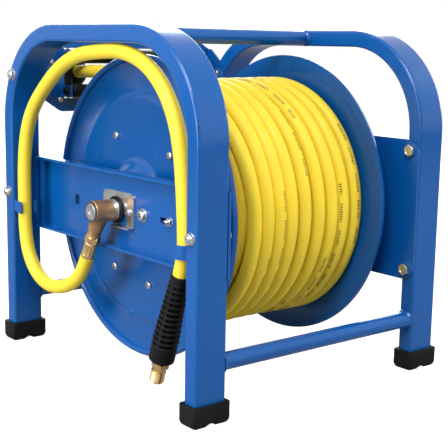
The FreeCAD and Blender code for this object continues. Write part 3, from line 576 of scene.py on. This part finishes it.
def restrictor(node, end, way, length, rows, web_side):
    """Rubber sleeve that stiffens the hose: rows of slots between four webs, then a collar."""
    slim, thick, collar, neck = 10.0, 14.2, 21.0, 8.0
    slot_depth, slot_floor, web_half_width = 3.8, 8.9, 0.135
    pitch = (length - collar - neck) / rows
    shape = Shape()
    profile = [(0, 8.6), (0, slim - 0.8), (0.8, slim), (neck - 1, slim)]
    for i in range(rows):
        crest = slim + 0.4 + (thick - slim) * (i + 1) / rows
        start = neck + i * pitch

        def slot(angle, crest=crest):
            bridged = abs(math.sin(2 * angle)) < 2 * web_half_width
            return crest - 0.5 if bridged else max(crest - slot_depth, slot_floor)

        profile += [(start + 0.03 * pitch, crest - 0.8), (start + 0.13 * pitch, crest - 0.15),
                    (start + 0.25 * pitch, crest), (start + 0.37 * pitch, crest - 0.15),
                    (start + 0.47 * pitch, crest - 0.8), (start + 0.52 * pitch, slot),
                    (start + 0.98 * pitch, slot)]
    profile += [(length - collar, thick - 0.8), (length - collar + 1, thick),
                (length - 1.2, thick), (length, thick - 1.2), (length, 8.0)]
    shape.turn(profile, end, way, 96, side=web_side)
    return shape.stand_for(node, sharp=30)


def male_fitting(node, end, way):
    """Brass stem with a short hexagon and a bored male thread."""
    shape = Shape()
    shape.turn(((0, 0), (0, 8.2), (2.2, 8.2), (2.2, 0)), end, way)
    shape.hexagon(18.0, 7.0, end + way * 2, way, both_ends=True)
    shape.turn(softened(((8.6, 0), (8.6, 8.2), (10, 8.0), (11.5, 7.2), (14.2, 7.2), (14.2, 0)),
                        0.4), end, way)
    shape.thread(8.33, 14, 1.34, end + way * 14, way, 64, bore=4.6)
    return shape.stand_for(node, brass, sharp=28)


def make_stopper():
    """Ball in two halves, clamped on the hose by two screws."""
    middle, radius, bore = Vector((-70, 234, 349.8)), 22.5, 9.0
    end, way = route_end(DELIVERY_ROUTE)
    opening = math.asin(bore / radius)
    rows = 40

    def reach(base):
        def seamed(angle):
            seam = min(abs(math.sin(angle)) * radius, 0.6)
            return base * (0.965 + 0.035 * seam / 0.6)
        return seamed

    profile = [(-radius * math.cos(opening) + 6, bore)]
    for i in range(rows + 1):
        bend = opening + (math.pi - 2 * opening) * i / rows
        profile.append((-radius * math.cos(bend), reach(radius * math.sin(bend))))
    profile.append((radius * math.cos(opening) - 6, bore))
    shape = Shape()
    shape.turn(profile, middle, way, 96, side=(1, 0, 0))
    ball = shape.stand_for("ball_stopper", sharp=30)
    screws = Shape()
    for along in (-12.5, 12.5):
        foot = middle + way * along + Vector((0, 0, 14.4))
        screws.pan_head(2.8, 2.6, foot, (0, 0, 1))
    return ball, screws.piece("stopper_screws", zinc, "frame", "zinc")


INLET_SLEEVE, DELIVERY_SLEEVE = 104.5, 60.0
inlet_end, inlet_way = route_end(INLET_ROUTE)
delivery_end, delivery_way = route_end(DELIVERY_ROUTE)
inlet_pieces = [
    restrictor("inlet_restrictor", inlet_end, inlet_way, INLET_SLEEVE, 12, (-0.94, -0.33, 0)),
    male_fitting("inlet_fitting", inlet_end + inlet_way * INLET_SLEEVE, inlet_way),
]
delivery_pieces = [
    restrictor("delivery_restrictor", delivery_end, delivery_way, DELIVERY_SLEEVE, 4,
               (-0.94, 0, 0.33)),
    male_fitting("delivery_fitting", delivery_end + delivery_way * DELIVERY_SLEEVE,
                 delivery_way),
    *make_stopper(),
]


# ---- hose clips --------------------------------------------------------------------------

def make_clips():
    """C-shaped straps on the legs' inner faces; the far one has longer arms."""
    hose_x, low, high = -176, 173.5, 188.5
    skins, pad_half, leg_inner = (9.3, 10.8), 7, 186.2
    shape = Shape()
    for side, hose_y, reach in ((-1, -174.2, 4), (1, 170.6, 11)):
        def level(x, y):
            return [Vector((x, y, z)) for z in (low, high)]

        path = [(0, -reach)] + [(180 * k / 20, 0) for k in range(21)] + [(180, -reach)]
        rings = []
        for degrees, back in path:
            angle = math.radians(degrees)
            (a, b), (c, d) = (level(hose_x - r * math.cos(angle),
                                    hose_y + side * (back + r * math.sin(angle)))
                              for r in skins)
            rings.append([a, c, d, b])
        shape.skin(rings, capped=(0, -1))
        pad = []
        for y in (hose_y + side * 10, side * leg_inner):
            (a, b), (c, d) = level(hose_x - pad_half, y), level(hose_x + pad_half, y)
            pad.append([a, c, d, b])
        shape.skin(pad, capped=(0, -1))
    shape.stand_for("hose_clips", sharp=30)


make_clips()


# ---- swivel ------------------------------------------------------------------------------

PORT_TILT = math.radians(27)
PORT_FOOT = Vector((-168.5, 0, AXLE_LEVEL))
PORT_WAY = Vector((0, math.sin(PORT_TILT), -math.cos(PORT_TILT)))


def on_barrel(radius):
    """Distance along the port to the barrel's skin, at each angle round the port."""
    return lambda angle: math.sqrt(12.7 ** 2 - (radius * math.sin(angle)) ** 2)


def make_swivel():
    """Bronze barrel with a shouldered port for the hose."""
    shape = Shape()
    shape.turn(softened(((0, 9.9), (0, 11.6), (1.2, 12.8), (20.4, 12.8), (20.4, 12.5),
                         (21.2, 12.5), (21.2, 12.8), (24.2, 12.8), (25, 12.0), (25, 9.9)), 0.5),
               (-181, 0, AXLE_LEVEL), (1, 0, 0), 96)
    shape.turn([(on_barrel(11.4), 11.4), (lambda a: on_barrel(11.4)(a) + 0.8, 10.6),
                (lambda a: on_barrel(11.4)(a) + 2.2, 9.9), (18, 9.8), (27.4, 8.2), (28, 7.6),
                (28.3, 7.2), (29.2, 7.2), (29.5, 8.0), (31, 8.0), (31.4, 7.3), (32.4, 7.3),
                (32.8, 8.0), (34.4, 8.0), (35, 7.4), (35, 4)],
               PORT_FOOT, PORT_WAY, 96, side=(1, 0, 0))
    shape.stand_for("swivel_body", bronze)

    nut = Shape()
    nut.hexagon(16.0, 9.0, PORT_FOOT + PORT_WAY * 35, PORT_WAY, both_ends=True)
    nut.stand_for("swivel_nut", brass, sharp=25)

    def crimped(angle):
        return 8.0 - 0.7 * (1 - abs(math.cos(6 * angle)))

    profile = [(0, 4), (0, 6.8), (1.0, 7.4), (1.6, 8.0), (2.6, 8.0), (3.2, crimped),
               (16.6, crimped), (17.4, 8.0), (21.2, 8.0), (21.9, 7.4), (21.9, 4)]
    ferrule = Shape()
    ferrule.turn(profile, PORT_FOOT + PORT_WAY * 44, PORT_WAY, 96)
    ferrule.stand_for("hose_ferrule", brass, sharp=28)


def make_circlip():
    """Snap ring with a gap and two eyes."""
    shape = Shape()
    inner, outer, thick = 9.8, 12.4, 1.1
    gap, steps = 28, 40
    rings = []
    for k in range(steps + 1):
        angle = math.radians(gap / 2 + (360 - gap) * k / steps - 60)
        eye = 2.0 * max(0, 1 - min(k, steps - k) / 3)
        taper = 0.8 + 0.2 * math.sin(math.pi * k / steps)
        rings.append([Vector((x, r * math.cos(angle), AXLE_LEVEL + r * math.sin(angle)))
                      for x, r in ((-182.2, inner), (-182.2, inner + (outer - inner) * taper + eye),
                                   (-182.2 + thick, inner + (outer - inner) * taper + eye),
                                   (-182.2 + thick, inner))])
    shape.skin(rings, capped=(0, -1))
    shape.stand_for("spindle_circlip")


def make_spindle():
    """Plated spindle with a chamfered, slightly dished end."""
    shape = Shape()
    shape.turn(((0.5, 0), (0.5, 3.2), (0, 3.6), (0, 9.0), (0.8, 9.8), (30.3, 9.8), (30.3, 12.0),
                (30.8, 12.5), (34.6, 12.5), (34.6, 9.8), (48.8, 9.8), (48.8, 0)),
               (-182.8, 0, AXLE_LEVEL), (1, 0, 0), 64)
    shape.stand_for("swivel_spindle")


def make_near_bush():
    shape = Shape()
    shape.turn(softened(((1.9, 9.9), (1.9, 12.6), (0, 13.2), (0, 15.2), (0.8, 16), (2.5, 16),
                         (2.5, 13), (10.5, 13), (10.5, 9.9)), 0.4),
               (-149.5, 0, AXLE_LEVEL), (1, 0, 0), 64)
    shape.stand_for("near_bush")


make_swivel()
make_circlip()
make_spindle()
make_near_bush()


# ---- bolts, nuts and screws --------------------------------------------------------------

LEG_BOLTS = [(y, AXLE_LEVEL) for y in (-196, 196)]
SIDE_BOLTS = [(y, AXLE_LEVEL + rise) for y in (-194, 194) for rise in (-72, 72)]
FLANGE_SCREW_ANGLES = (1, 61, 134, 181, 255, 301)
SCREW_CIRCLE = 93.5
FLANGE_WEB = 117


def make_bolts(label, places, inner, outer, way, flats, head):
    """Hexagon bolts through a tube along X, with the washered nuts on its outer face."""
    bolts, nuts = Shape(), Shape()
    toward = (way, 0, 0)
    for y, z in places:
        bolts.hexagon(flats, head, (inner, y, z), (-way, 0, 0))
        bolts.turn(((0, 0), (0, 4), (abs(outer - inner), 4), (abs(outer - inner), 0)),
                   (inner, y, z), toward, 24)
        bolts.thread(4, 6.5, 1.25, (outer, y, z), toward)
        nuts.washer(flats / 2 + 1.2, 1.2, (outer, y, z), toward)
        nuts.hexagon(flats, head - 1.3, (outer + way * 1.2, y, z), toward, both_ends=True)
    bolts.stand_for(label + "_bolts", sharp=28)
    nuts.stand_for(label + "_nuts", sharp=28)


make_bolts("crossmember", LEG_BOLTS, -142, -LEG_FACE, -1, 11, 4.7)
make_bolts("side_plate", SIDE_BOLTS, 142, LEG_FACE, 1, 13, 5.3)


def make_guide_bolts():
    """Bolts through the arches' bends that hold the guide."""
    bolts, nuts = Shape(), Shape()
    for side in (-1, 1):
        inner, outer = (side * 142.5, 179.3, 348.3), (side * LEG_FACE, 179.3, 348.3)
        out = (side, 0, 0)
        bolts.hexagon(11, 4.5, inner, (-side, 0, 0))
        bolts.turn(((0, 0), (0, 4), (42.5, 4), (42.5, 0)), inner, out, 24)
        bolts.thread(4, 6.5, 1.25, outer, out)
        nuts.washer(7.4, 1.2, outer, out)
        nuts.hexagon(11, 3.8, (side * (LEG_FACE + 1.2), 179.3, 348.3), out, both_ends=True)
    bolts.stand_for("guide_bolts", sharp=28)
    nuts.stand_for("guide_nuts", sharp=28)


def make_small_screws():
    flange_screws = Shape()
    for side in (-1, 1):
        for degrees in FLANGE_SCREW_ANGLES:
            angle = math.radians(degrees)
            foot = (side * FLANGE_WEB, SCREW_CIRCLE * math.cos(angle),
                    AXLE_LEVEL + SCREW_CIRCLE * math.sin(angle))
            flange_screws.pan_head(4.9, 2.8, foot, (side, 0, 0))
    flange_screws.stand_for("flange_screws")

    guide_screws = Shape()
    for side in (-1, 1):
        for x, z in ((102, 384.5), (116.5, 363), (104, 314)):
            guide_screws.pan_head(3.6, 2.6, (side * x, 203, z), (0, -1, 0))
    guide_screws.stand_for("guide_screws")

    bracket_screw = Shape()
    bracket_screw.pan_head(3.8, 2.6, (MEMBER_FACE - 2, -26.5, AXLE_LEVEL), (-1, 0, 0))
    bracket_screw.stand_for("bracket_screw")


def make_pawl_pivot():
    """Large pan-headed screw on a washer, which the pawl swings on behind the channel."""
    shape = Shape()
    shape.washer(8.2, 1.3, (MEMBER_FACE, -53, AXLE_LEVEL), (-1, 0, 0))
    shape.pan_head(6.6, 4.6, (MEMBER_FACE - 1.3, -53, AXLE_LEVEL), (-1, 0, 0))
    shape.turn(((0, 0), (0, 4), (17, 4), (17, 0)), (MEMBER_FACE, -53, AXLE_LEVEL), (1, 0, 0), 32)
    shape.stand_for("pawl_bolt")


def make_spring_stud():
    shape = Shape()
    place = (MEMBER_FACE, -104.7, AXLE_LEVEL)
    shape.turn(((-9, 0), (-9, 2), (9, 2), (9, 0)), place, (1, 0, 0), 24)
    shape.thread(2.5, 9, 0.8, place, (-1, 0, 0), depth=0.33)
    shape.washer(5.2, 0.8, place, (-1, 0, 0))
    shape.hexagon(8, 3.4, (MEMBER_FACE - 0.8, *place[1:]), (-1, 0, 0), both_ends=True)
    shape.hexagon(8, 4, (MEMBER_FACE + 3, *place[1:]), (1, 0, 0), both_ends=True)
    shape.stand_for("spring_stud", sharp=28)


make_guide_bolts()
make_small_screws()
make_pawl_pivot()
make_spring_stud()


# ---- drum --------------------------------------------------------------------------------

FLANGE_PLANE = 113
RIM_CURL = ((0, 172.0), (1.6, 172.3), (4.2, 173.6), (5.5, 176.0), (5.1, 178.3), (3.2, 179.7),
            (0.8, 180.0), (-1.5, 180.0), (-1.5, 176.0))


def make_flange(node, side, domed):
    """Pressed disc with a soft step, a rolled rim and, on one side, a hub dome."""
    outer_side = [(4, 56), (4, 133.2), (0, 144)]
    inner_side = [(-1.5, 144.5), (2.5, 133.7), (2.5, 56.5)]
    if domed:
        hub = [(14, 12.0), (14, 34), (12.4, 43.5)]
        inner_hub = [(11, 43), (12.5, 34), (12.5, 12.0)]
    else:
        hub, inner_hub = [(4, 12.0)], [(2.5, 12.0)]
    profile = softened(hub + outer_side, 5, 6) + list(RIM_CURL) + softened(
        inner_side + inner_hub, 3)
    shape = Shape()
    shape.turn([(FLANGE_PLANE + along, radius) for along, radius in profile],
               (0, 0, AXLE_LEVEL), (side, 0, 0), 192)
    shape.stand_for(node, sharp=50)


make_flange("near_flange", -1, True)
make_flange("far_flange", 1, False)


# ---- guide rollers -----------------------------------------------------------------------

def roller(node, radius, half, middle, toward):
    """Moulded roller with round ends and a faint parting line."""
    def body(angle):
        return radius - 0.12 * max(0, 1 - abs(math.sin(angle)) * 14)

    shape = Shape()
    shape.turn(((-half, 3.05), (-half, radius - 2.2), (-half + 0.6, radius - 1.1),
                (-half + 2, radius - 0.3), (-half + 4, body), (half - 4, body),
                (half - 2, radius - 0.3), (half - 0.6, radius - 1.1), (half, radius - 2.2),
                (half, 3.05), (-half, 3.05)), middle, toward, 72)
    shape.stand_for(node)


roller("upper_roller", 9, 97, (0, 188, 371), (1, 0, 0))
roller("lower_roller", 9, 97, (0, 188, 326), (1, 0, 0))
roller("near_side_roller", 7, 31, (-90, 209, 349), (0, 0, 1))
roller("far_side_roller", 7, 31, (90, 209, 349), (0, 0, 1))


def make_pin_caps():
    """Black push-on caps that keep the roller pins in their lugs."""
    shape = Shape()
    for side in (-1, 1):
        for level in (371, 326):
            shape.turn(softened(((0, 0), (0, 6.5), (1.2, 6.5), (1.6, 5.6), (3.8, 5.4), (5, 4),
                                 (5, 0)), 0.6), (side * 101.5, 188, level), (side, 0, 0), 40)
    shape.stand_for("roller_pin_caps", plastic, slot="black_plastic")


make_pin_caps()


# ---- feet --------------------------------------------------------------------------------

def round_rectangle(half_x, half_y, corner, between=10, steps=5):
    """Points round a rectangle with round corners and divided sides."""
    arcs = []
    for sx, sy, first in ((1, 1, 0), (-1, 1, 90), (-1, -1, 180), (1, -1, 270)):
        arcs.append([Vector((sx * (half_x - corner) + corner * math.cos(angle),
                             sy * (half_y - corner) + corner * math.sin(angle)))
                     for angle in (math.radians(first + 90 * k / steps)
                                   for k in range(steps + 1))])
    points = []
    for arc, following in zip(arcs, arcs[1:] + arcs[:1]):
        points += arc
        points += [arc[-1].lerp(following[0], k / between) for k in range(1, between)]
    return points


def make_feet():
    """Rubber caps under the legs, with a soft sole and a notch across it."""
    half_x, half_y = 24.2, 14.2
    profile = ((4.3, 20.0), (4.0, 23.4), (3.5, 24.1), (1.0, 24.2), (0.2, 23.8), (0, 22.8),
               (0.1, 14), (0, 6.5), (0.5, 4.2), (1.5, 2.2), (3.0, 0.7), (4.8, 0.0), (11, 0.0))
    shape = Shape()
    for sx in (-1, 1):
        for sy in (-1, 1):
            rings = []
            for inset, level in profile:
                ring = []
                for point in round_rectangle(half_x - inset, half_y - inset,
                                             max(3.6 - inset * 0.5, 0.6)):
                    notch = max(0, 1 - abs(point.x) / 6.5)
                    lift = 3.0 * math.sin(notch * math.pi / 2) * max(0, 1 - level / 8)
                    ring.append(Vector((sx * 165 + point.x, sy * 196 + point.y, level + lift)))
                rings.append(ring)
            shape.skin(rings, capped=(0, -1))
    shape.stand_for("rubber_feet", sharp=40)


make_feet()


# ---- welds and dimples -------------------------------------------------------------------

def make_welds():
    """Uneven beads where the crossbars meet the arches."""
    shape = Shape()
    for side in (-1, 1):
        for y, z in ((0, 400), (-196, 63), (196, 63)):
            level_tube = y == 0

            def bead(angle, phase=side + y * 0.01, level_tube=level_tube):
                lumps = 0.5 * math.sin(3 * angle + phase) + 0.3 * math.sin(8 * angle + 2 * phase)
                across = abs(math.cos(angle) if level_tube else math.sin(angle))
                return min(12.2 + lumps, 10.2 / max(across, 0.01))

            def crown(angle, bead=bead):
                return 0.45 * bead(angle) + 0.55 * 9.4

            shape.turn(((-0.4, 9.3), (-0.4, bead), (0.7, bead), (2.2, crown), (3.6, 9.4)),
                       (side * 145, y, z), (-side, 0, 0), 64)
    shape.piece("weld_beads", paint, "frame", "blue", sharp=60)


def make_dimples():
    """Shallow raised spots pressed in the channel and the near flange."""
    def spot(shape, radius, start):
        shape.turn(((-0.3, 0), (-0.3, radius), (0, radius), (0.35, radius * 0.8),
                    (0.6, radius * 0.4), (0.65, 0)), start, (-1, 0, 0), 24)

    channel = Shape()
    for y, z in ((-36, 176), (-41, 202)):
        spot(channel, 2.4, (MEMBER_FACE, y, z))
    channel.piece("channel_spots", paint, "frame", "blue", sharp=60)
    disc = Shape()
    spot(disc, 3, (-FLANGE_WEB, 12, 67))
    disc.piece("flange_spot", paint, "drum", "blue", sharp=60)


make_welds()
make_dimples()


# ---- CAD pieces that stay ----------------------------------------------------------------

BEVELS = {"blue": 0.0007, "zinc": 0.0003, "brass": 0.0004, "rubber": 0.0008,
          "black_plastic": 0.0006, "spring_steel": 0.0001}


def finish_cad_nodes():
    """Give each CAD piece that still shows its material and softened edges."""
    for name, piece in nodes.items():
        if piece.hide_render:
            continue
        slot = SLOT_OF[name]
        for place in piece.material_slots:
            place.material = BY_SLOT[slot]
        piece.data.set_sharp_from_angle(angle=math.radians(25))
        soften = piece.modifiers.new("soft_edges", "BEVEL")
        soften.width = BEVELS[slot]
        soften.segments = 2
        soften.limit_method = "ANGLE"
        soften.angle_limit = math.radians(40)
        soften.harden_normals = True


finish_cad_nodes()


# ---- stage -------------------------------------------------------------------------------

# Light of the floor as the camera sees it, and of the backdrop as dull surfaces get it.
FLOOR_GLOW = 0.93
BACKDROP_FILL = 0.11


def make_stage():
    """Pale floor and a white backdrop that lights dull surfaces only faintly."""
    floor = bpy.data.meshes.new("floor")
    floor.from_pydata([(-9, -9, 0), (9, -9, 0), (9, 9, 0), (-9, 9, 0)], [], [(0, 1, 2, 3)])
    pale = Finish("pale_floor")
    pale.color(pale.ramp(pale.noise(2, 2), (0.3, (0.34, 0.34, 0.34)), (0.7, (0.37, 0.37, 0.37))))
    pale.set(Roughness=0.9, Specular_IOR_Level=0.1, Emission_Color=(1, 1, 1, 1))
    seen = pale.add("ShaderNodeLightPath").outputs["Is Camera Ray"]
    pale.link(pale.spread(seen, 0, FLOOR_GLOW, 0, 1), pale.shader.inputs["Emission Strength"])
    floor.materials.append(pale.material)
    ground = bpy.data.objects.new("floor", floor)
    bpy.context.scene.collection.objects.link(ground)

    world = bpy.data.worlds.new("studio")
    world.use_nodes = True
    backdrop = world.node_tree.nodes["Background"]
    backdrop.inputs["Color"].default_value = (1, 1, 1, 1)
    dull = world.node_tree.nodes.new("ShaderNodeLightPath").outputs["Is Diffuse Ray"]
    glow = world.node_tree.nodes.new("ShaderNodeMapRange")
    glow.inputs["From Max"].default_value = 1.0
    glow.inputs["To Min"].default_value = 1.0
    glow.inputs["To Max"].default_value = BACKDROP_FILL
    world.node_tree.links.new(dull, glow.inputs["Value"])
    world.node_tree.links.new(glow.outputs["Result"], backdrop.inputs["Strength"])
    bpy.context.scene.world = world
    bpy.context.scene.view_settings.view_transform = "Standard"


def area_light(name, place, wide, tall, power, mirrored=True):
    """Soft light turned towards the drum; glossy surfaces may mirror it or not."""
    aim = Vector((0, 0, 0.2))
    light = bpy.data.lights.new(name, "AREA")
    light.shape = "RECTANGLE"
    light.size = wide
    light.size_y = tall
    light.energy = power
    lamp = bpy.data.objects.new(name, light)
    bpy.context.scene.collection.objects.link(lamp)
    lamp.location = place
    lamp.rotation_euler = (Vector(place) - aim).to_track_quat("Z", "Y").to_euler()
    lamp.visible_glossy = mirrored


make_stage()
area_light("key", (-1.2, -1.0, 2.0), 1.0, 1.0, 50)
area_light("side", (-2.3, 0.3, 0.8), 0.9, 1.4, 54)
area_light("fill", (1.4, -2.1, 1.1), 1.8, 1.8, 46, mirrored=False)
area_light("back", (1.5, 2.0, 1.3), 1.8, 1.6, 46)
area_light("far_side", (2.4, -0.2, 1.0), 1.2, 1.4, 22)
